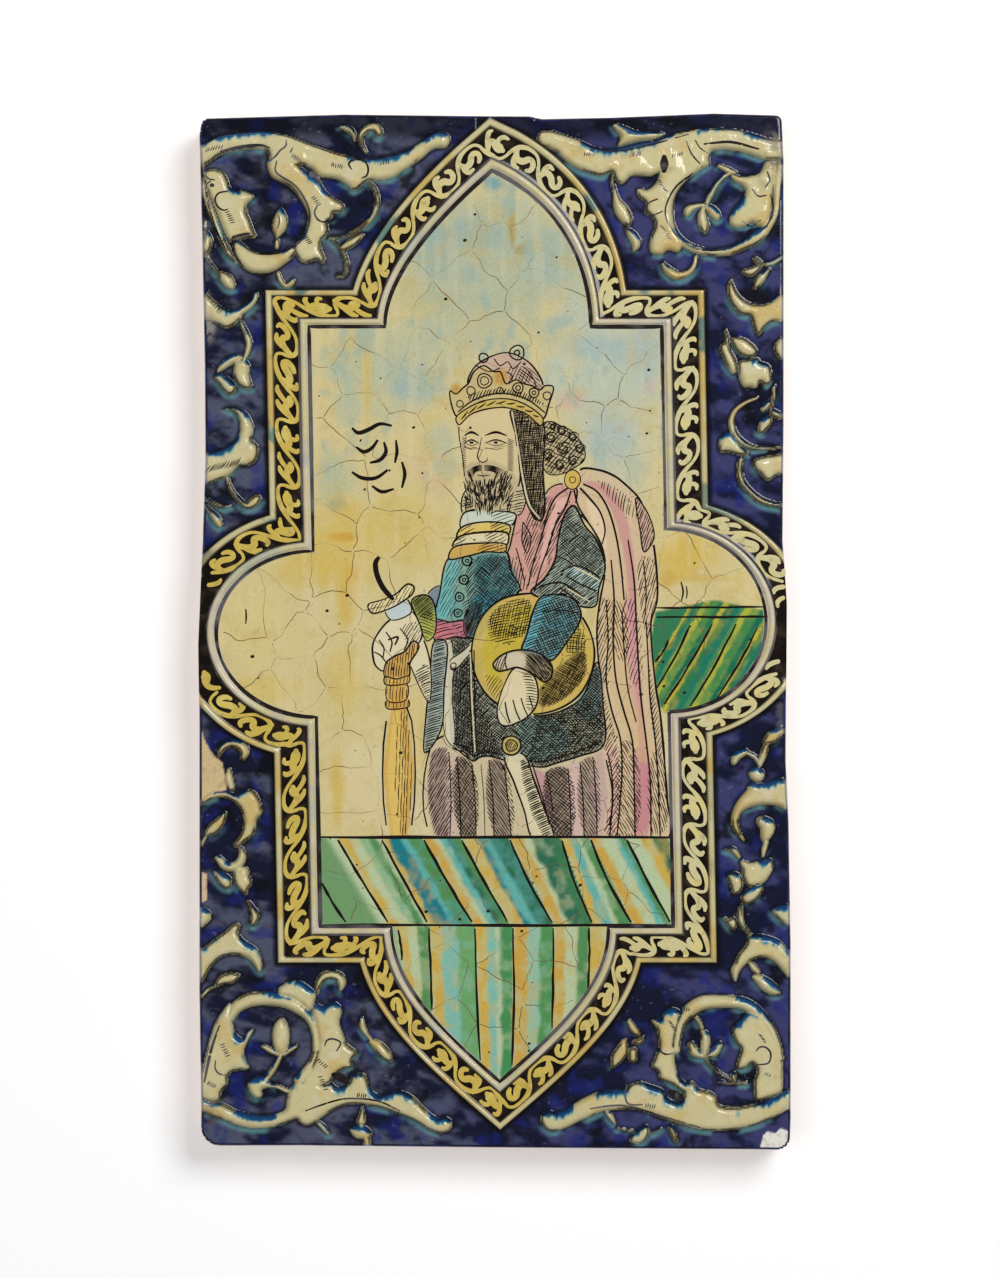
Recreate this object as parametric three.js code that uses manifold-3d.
// A moulded pottery wall tile: one pressed slab with a raised, lobed frame round a flat
// picture field, and scrolling leaves in relief in the corners and down the sides.
// Millimetres, +Z up. The picture faces -Y, and the flat back lies on y = 0 with the
// origin at its middle.
import * as THREE from "three";
import { mergeVertices } from "three/addons/utils/BufferGeometryUtils.js";
import Module from "manifold-3d";

const wasm = await Module();
wasm.setup();

// The slab.
const HALF_WIDTH = 142;
const HALF_HEIGHT = 250;
const SLAB_DEPTH = 24; // from the back to the blue ground
const EDGE_ROUND = 1.6; // how far the front edge is worn back
const EDGE_FIRST_STEP = 0.35; // share of that wear at the upper facet

// How far each edge of the hand-pressed slab strays outwards from a true rectangle,
// as [place along the edge, stray].
const EDGE_STRAY = {
  top: [[-73, -0.1], [-2, -0.9], [17, -1], [23, -2.3], [57, -1.6], [106, 0.4]],
  right: [
    [228, -2.1], [102, -2.1], [44, -2.6], [13, -0.6],
    [-63, -1.1], [-92, 0.3], [-152, 1.3], [-236, 1.3],
  ],
  bottom: [[126, 0.8], [67, 0.4], [-2, -0.1], [-94, -1.1]],
  left: [
    [-232, -0.1], [-175, 0.8], [-42, 0.8], [-7, 1.3], [38, -0.6],
    [82, -2.1], [129, -1.8], [187, -0.6], [240, 0.8],
  ],
};

// The rounded corners: the middle of each arc, its radius and the angle where it starts.
const CORNERS = {
  rightTop: { x: 136, z: 246.5, round: 3, from: 0 },
  leftTop: { x: -139, z: 245, round: 3, from: 90 },
  leftBottom: { x: -133, z: -240, round: 9, from: 180 },
  rightBottom: { x: 137, z: -245, round: 6, from: 270 },
};

// The picture panel: a rectangle with a pointed arch above and below it and half an
// ellipse on each side. It leans a little, as it does on the hand-made tile.
const PANEL = { x: -1.65, z: 2.2, halfWidth: 85.2, halfHeight: 144.8, lean: -0.019 };
const ARCHES = {
  upper: {
    rise: 75.4,
    apex: 4.6,
    right: { foot: 51.1, steep: 32, bend: [36, 61], spread: 1.1 },
    left: { foot: 48.5, steep: 20, bend: [30, 46], spread: 0.95 },
  },
  lower: {
    rise: 75,
    apex: 0,
    right: { foot: 53.9, steep: 24, bend: [38, 43], spread: 0.85 },
    left: { foot: 51, steep: 26, bend: [33, 46], spread: 0.85 },
  },
};
const LOBES = {
  right: { z: 2.9, reach: 47.6, halfHeight: 44.2, spread: 0.68 },
  left: { z: -3.7, reach: 47.6, halfHeight: 40.1, spread: 0.97 },
};
const SHOULDER_SPREAD = 0.85; // the frame is narrower over the shoulders than down the sides
const ARCH_STEPS = 6;
const LOBE_STEPS = 12;

// The frame's section, from the ground outside it to the panel: [distance outside the
// panel, height over the ground]. A rounded fillet, a flat band for the painted vine, and
// a ridge round the panel.
const FRAME_SECTION = [
  [21.6, -1],
  [21.0, 1.6],
  [19.8, 2.1],
  [18.2, 1.7],
  [17.6, 1.0],
  [4.9, 1.0],
  [4.2, 2.8],
  [2.0, 3.1],
  [1.0, 1.8],
];

// The relief scrolls.
const SCROLL_HEIGHT = 4.2;
const SCROLL_SINK = 1; // how far a scroll's foot goes into the slab
const SCROLL_STEP = 6.5; // longest step along a scroll
const SCROLL_SLOPE = 0.3; // a narrow scroll is lower: its height grows with its width
const SCROLL_LEAST = 0.9;
const SCROLL_SHOULDER = { out: 0.36, up: 0.78 }; // as shares of the width and the height
const RELIEF_SETBACK = 0.7; // how far the relief stops short of the slab's edge

// One quarter of the relief, measured inwards from the tile's corner: each scroll is a
// list of [from the side edge, from the top or bottom edge, width] along its middle line.
const CORNER_SCROLLS = {
  arm: [
    [-3, 22, 7], [10.5, 15.5, 7.5], [28, 12.5, 8.5], [41, 15.5, 11], [53, 21, 16],
    [68, 27, 17], [80, 27.5, 15], [92, 24.5, 11.5], [102.5, 18.5, 9.5], [111, 12.8, 7.5],
    [116.5, 11.4, 6], [119.6, 14.4, 4.6], [117, 17.2, 3],
  ],
  ringLeaf: [
    [43, 17, 8], [54, 33, 14.5], [58, 44.5, 12.5], [57, 55.5, 11.5], [53, 64, 12.5], [54.5, 73, 7],
  ],
  leafLobe: [[54, 31, 9], [61, 39.5, 9], [65.5, 44, 3]],
  leafCurl: [[56, 55, 8], [61.5, 57, 7], [64, 56, 3]],
  ringCrescent: [[15.5, 62, 3], [22, 70, 7.5], [33.5, 74, 9], [45, 70.5, 8], [51, 63, 6]],
  innerLeaf: [[3, 27, 4], [10, 38, 14], [17, 49, 17], [23.5, 60, 7]],
  longStrip: [[-1, 27, 3], [2, 37, 3], [10, 52, 3.5], [16.5, 67, 4], [22, 72, 4]],
  thinStem: [[79, 32, 3], [85, 39.5, 3.5], [83, 49, 3.5], [75, 57, 3.4], [64.5, 60, 2.5]],
  stemFoot: [[68, 62, 4], [76.5, 62, 5]],
  hook: [[68, 62, 2], [71.5, 69, 3], [71, 75, 3], [67.5, 77, 2]],
  ringBud: [[38.5, 46, 2], [38.5, 51.5, 6.5], [37.5, 59, 2]],
  topBlade: [[70, 7, 2.5], [75, 12.5, 2]],
  topHook: [[79, 18, 2.5], [77.5, 11.5, 3.5], [80.5, 7, 4.2], [86, 7.5, 4.5]],
  edgeBud: [[9.5, 76.5, 2], [13, 80, 5.5], [16, 84, 2]],
};
const SIDE_SCROLLS = {
  crescent: [[26.5, 85, 2.5], [23.5, 91.5, 4.5], [16.5, 95, 6], [8, 93, 8], [-2, 90, 10]],
  crescentLeaf: [[-1, 96, 8], [8, 99, 9], [16.5, 100.5, 4]],
  ball: [[16.2, 97.5, 5], [18.8, 97.5, 5]],
  dropStem: [[20, 102, 1.6], [23, 110, 3.2], [22, 118.5, 2]],
  innerPetal: [[21, 121, 2], [23.5, 127, 7], [23, 133.5, 2.5]],
  outerPetal: [[19, 119.5, 2], [13, 122.5, 5], [8, 125, 2]],
  lowerPetal: [[12.5, 125, 3], [14.5, 130.5, 8], [15.5, 137, 2.5]],
  horn: [[13.5, 143, 2], [20.5, 144, 4], [23.5, 152, 6], [20, 159, 7], [10, 164, 9], [-2, 166, 10]],
  hornLeaf: [[-2, 173, 10], [8, 172, 13], [19, 167.5, 11], [26, 163, 4]],
  curlStem: [[14, 178, 2], [18, 185, 3], [24, 190, 3.5], [26.5, 188, 4.5]],
  upperBlade: [[3.5, 187, 2.5], [8, 190, 3], [14.5, 189.5, 2]],
  lowerBlade: [[4, 191, 2], [8.5, 197, 5], [10.5, 199, 3]],
};

// Where pieces of clay have broken away: [x, y, z] and half sizes.
const CHIP_TURN = 0.4;
const CHIPS = [
  { at: [134.5, -SLAB_DEPTH, -249.5], half: [7, 7, 5] },
  { at: [-141.6, -SLAB_DEPTH, 107], half: [2.2, 4, 4] },
  { at: [-141.6, -SLAB_DEPTH, 96.5], half: [2.2, 4, 4.5] },
  { at: [-147, -SLAB_DEPTH - 1.6, -63], half: [18, 3.4, 20] },
];

// A THREE geometry as a solid, turned so that its faces point outwards.
function solidOf(geometry) {
  const bare = geometry.index ? geometry.toNonIndexed() : geometry.clone();
  bare.deleteAttribute("normal");
  bare.deleteAttribute("uv");
  const merged = mergeVertices(bare, 1e-4);
  const triVerts = new Uint32Array(merged.index.array);
  if (volumeOf(merged) < 0) triVerts.reverse();
  return new wasm.Manifold(
    new wasm.Mesh({ numProp: 3, vertProperties: merged.attributes.position.array, triVerts }),
  );
}

function volumeOf(geometry) {
  const at = geometry.attributes.position;
  const [a, b, c] = [new THREE.Vector3(), new THREE.Vector3(), new THREE.Vector3()];
  let sum = 0;
  for (let i = 0; i < geometry.index.count; i += 3) {
    a.fromBufferAttribute(at, geometry.index.getX(i));
    b.fromBufferAttribute(at, geometry.index.getX(i + 1));
    c.fromBufferAttribute(at, geometry.index.getX(i + 2));
    sum += a.dot(b.cross(c)) / 6;
  }
  return sum;
}

function geometryOf(solid) {
  const { numProp, vertProperties, triVerts } = solid.getMesh();
  const geometry = new THREE.BufferGeometry();
  const positions = new Float32Array((vertProperties.length / numProp) * 3);
  for (let i = 0; i < positions.length / 3; i++)
    positions.set(vertProperties.subarray(i * numProp, i * numProp + 3), i * 3);
  geometry.setAttribute("position", new THREE.BufferAttribute(positions, 3));
  geometry.setIndex(new THREE.BufferAttribute(triVerts, 1));
  geometry.computeVertexNormals();
  return geometry;
}

// A closed body through rings of equally many [x, z] points, each at its own y.
function stack(rings) {
  const count = rings[0].outline.length;
  const points = [];
  const faces = [];
  for (const { outline, y } of rings)
    for (const [x, z] of outline) points.push(new THREE.Vector3(x, y, z));
  for (let ring = 0; ring + 1 < rings.length; ring++)
    for (let i = 0; i < count; i++) {
      const j = (i + 1) % count;
      const low = ring * count;
      const high = low + count;
      faces.push([low + i, low + j, high + j], [low + i, high + j, high + i]);
    }
  const capOf = (outline) =>
    THREE.ShapeUtils.triangulateShape(outline.map(([x, z]) => new THREE.Vector2(x, z)), []);
  const top = (rings.length - 1) * count;
  const isLeftHanded = THREE.ShapeUtils.isClockWise(
    rings[0].outline.map(([x, z]) => new THREE.Vector2(x, z)),
  );
  const turned = (face) => (isLeftHanded ? [face[2], face[1], face[0]] : face);
  for (const face of capOf(rings[0].outline)) faces.push(turned([...face].reverse()));
  for (const face of capOf(rings[rings.length - 1].outline))
    faces.push(turned(face.map((i) => i + top)));
  const geometry = new THREE.BufferGeometry().setFromPoints(
    faces.flat().map((i) => points[i]),
  );
  return solidOf(geometry);
}

// The outline moved inwards, each point along the mean of its two edges' normals.
function inset(outline, by) {
  return outline.map(([x, z], i) => {
    const before = new THREE.Vector2(...outline.at(i - 1));
    const after = new THREE.Vector2(...outline[(i + 1) % outline.length]);
    const along = after.sub(before).normalize();
    return [x - along.y * by, z + along.x * by];
  });
}

// The slab's outline, anticlockwise as seen from the front.
function slabOutline() {
  const top = EDGE_STRAY.top.map(([x, stray]) => [x, HALF_HEIGHT + stray]);
  const right = EDGE_STRAY.right.map(([z, stray]) => [HALF_WIDTH + stray, z]);
  const bottom = EDGE_STRAY.bottom.map(([x, stray]) => [x, -HALF_HEIGHT - stray]);
  const left = EDGE_STRAY.left.map(([z, stray]) => [-HALF_WIDTH - stray, z]);
  const corner = ({ x, z, round, from }) =>
    [0, 45, 90].map((turn) => {
      const angle = THREE.MathUtils.degToRad(from + turn);
      return [x + round * Math.cos(angle), z + round * Math.sin(angle)];
    });
  return [
    ...right.reverse(),
    ...corner(CORNERS.rightTop),
    ...top.reverse(),
    ...corner(CORNERS.leftTop),
    ...left.reverse(),
    ...corner(CORNERS.leftBottom),
    ...bottom.reverse(),
    ...corner(CORNERS.rightBottom),
  ];
}

function slab(outline) {
  const step = EDGE_ROUND * EDGE_FIRST_STEP;
  return stack([
    { outline, y: 0 },
    { outline, y: EDGE_ROUND - SLAB_DEPTH },
    { outline: inset(outline, step), y: step - SLAB_DEPTH },
    { outline: inset(outline, EDGE_ROUND), y: -SLAB_DEPTH },
  ]);
}

// Where the line through p along d meets the line through q along e.
function meet(p, d, q, e) {
  const gap = q.clone().sub(p);
  return p.clone().addScaledVector(d, gap.cross(e) / d.cross(e));
}

// One side of an arch, from its foot on the shoulder to near the apex, widened by grow.
// The widening changes evenly from the shoulder's share to the side's own at the apex.
function archSide(arch, side, grow) {
  const curve = new THREE.CubicBezierCurve(
    new THREE.Vector2(side.foot, 0),
    new THREE.Vector2(side.foot, side.steep),
    new THREE.Vector2(...side.bend),
    new THREE.Vector2(arch.apex * side.sign, arch.rise),
  );
  const widened = (t) => {
    const along = curve.getTangent(t);
    const out = grow * THREE.MathUtils.lerp(SHOULDER_SPREAD, side.spread, t);
    return curve.getPoint(t).add(new THREE.Vector2(along.y, -along.x).multiplyScalar(out));
  };
  const level = grow * SHOULDER_SPREAD;
  let start = 0;
  while (widened(start).y < level) start += 0.01;
  const points = [];
  for (let i = 0; i < ARCH_STEPS; i++)
    points.push(widened(start + ((1 - start) * i) / ARCH_STEPS));
  points[0] = new THREE.Vector2(points[0].x, level);
  return { points, end: widened(1), along: curve.getTangent(1) };
}

// The panel's outline widened by grow, anticlockwise from the foot of the right lobe.
function panelOutline(grow) {
  const wide = PANEL.halfWidth + grow;
  const high = PANEL.halfHeight;

  const lobe = ({ z, reach, halfHeight, spread }, sign) => {
    const half = Math.acos(grow / (reach + grow));
    return Array.from({ length: LOBE_STEPS + 1 }, (_, i) => {
      const angle = half * ((2 * i) / LOBE_STEPS - 1) * sign;
      const out = PANEL.halfWidth + (reach + grow) * Math.cos(angle);
      return [sign * out, z + (halfHeight + spread * grow) * Math.sin(angle)];
    });
  };

  const arch = (shape, up) => {
    const right = archSide(shape, { ...shape.right, sign: 1 }, grow);
    const left = archSide(shape, { ...shape.left, sign: -1 }, grow);
    const flip = (v) => new THREE.Vector2(-v.x, v.y);
    const apex = meet(right.end, right.along, flip(left.end), flip(left.along));
    const across = [...right.points, apex, ...left.points.map(flip).reverse()];
    const placed = across.map((v) => [v.x, up * (high + v.y)]);
    return up > 0 ? placed : placed.reverse();
  };

  const shoulder = high + grow * SHOULDER_SPREAD;
  const local = [
    ...lobe(LOBES.right, 1),
    [wide, shoulder],
    ...arch(ARCHES.upper, 1),
    [-wide, shoulder],
    ...lobe(LOBES.left, -1),
    [-wide, -shoulder],
    ...arch(ARCHES.lower, -1),
    [wide, -shoulder],
  ];
  return local.map(([x, z]) => [PANEL.x + x + PANEL.lean * z, PANEL.z + z]);
}

function frameAndPanel() {
  return stack(
    FRAME_SECTION.map(([grow, height]) => ({
      outline: panelOutline(grow),
      y: -(SLAB_DEPTH + height),
    })),
  );
}

// A moulded bar with rounded shoulders that follows a smooth line and changes width.
function scroll(stations) {
  const line = new THREE.CatmullRomCurve3(
    stations.map(([x, z]) => new THREE.Vector3(x, 0, z)),
    false,
    "centripetal",
  );
  const spans = stations.length - 1;
  const steps = Math.max(spans, Math.round(line.getLength() / SCROLL_STEP));
  const sections = [];
  for (let i = 0; i <= steps; i++) {
    const at = (i / steps) * spans;
    const from = Math.min(Math.floor(at), spans - 1);
    const width = THREE.MathUtils.lerp(stations[from][2], stations[from + 1][2], at - from);
    const rise = Math.min(SCROLL_HEIGHT, SCROLL_LEAST + width * SCROLL_SLOPE);
    const middle = line.getPoint(i / steps);
    const along = line.getTangent(i / steps);
    const across = new THREE.Vector3(-along.z, 0, along.x);
    const { out, up } = SCROLL_SHOULDER;
    const section = [
      [-0.5, -SCROLL_SINK],
      [-out, rise * up],
      [0, rise],
      [out, rise * up],
      [0.5, -SCROLL_SINK],
    ].map(([share, height]) =>
      middle.clone().addScaledVector(across, share * width).setY(-(SLAB_DEPTH + height)),
    );
    sections.push(section);
  }
  return solidOf(tube(sections));
}

// The surface through equal sections, closed at both ends.
function tube(sections) {
  const count = sections[0].length;
  const corners = [];
  for (let s = 0; s + 1 < sections.length; s++)
    for (let i = 0; i < count; i++) {
      const j = (i + 1) % count;
      const [a, b] = [sections[s], sections[s + 1]];
      corners.push(a[i], a[j], b[j], a[i], b[j], b[i]);
    }
  const first = sections[0];
  const last = sections[sections.length - 1];
  for (let i = 1; i + 1 < count; i++)
    corners.push(first[0], first[i + 1], first[i], last[0], last[i], last[i + 1]);
  return new THREE.BufferGeometry().setFromPoints(corners);
}

// The quarter motif, mirrored into all four corners.
function scrolls() {
  const quarter = [...Object.values(CORNER_SCROLLS), ...Object.values(SIDE_SCROLLS)];
  const placed = [];
  for (const side of [-1, 1])
    for (const up of [-1, 1])
      for (const stations of quarter)
        placed.push(
          scroll(
            stations.map(([u, v, width]) => [
              side * (HALF_WIDTH - u),
              up * (HALF_HEIGHT - v),
              width,
            ]),
          ),
        );
  return placed;
}

function chip({ at, half }) {
  const lump = new THREE.IcosahedronGeometry(1, 1);
  lump.scale(...half);
  lump.rotateY(CHIP_TURN);
  lump.translate(...at);
  return solidOf(lump);
}

function tile() {
  const outline = slabOutline();
  const reach = inset(outline, RELIEF_SETBACK);
  const clip = stack([
    { outline: reach, y: SCROLL_SINK * 2 - SLAB_DEPTH },
    { outline: reach, y: -SCROLL_HEIGHT * 2 - SLAB_DEPTH },
  ]);
  let relief = frameAndPanel();
  for (const part of scrolls()) relief = relief.add(part);
  let body = slab(outline).add(relief.intersect(clip));
  for (const loss of CHIPS) body = body.subtract(chip(loss));
  const mesh = new THREE.Mesh(
    geometryOf(body),
    new THREE.MeshStandardMaterial({ color: 0xd8cfa4, roughness: 0.25, metalness: 0 }),
  );
  mesh.name = "tile";
  return mesh;
}

const group = new THREE.Group();
group.add(tile());
export default group;
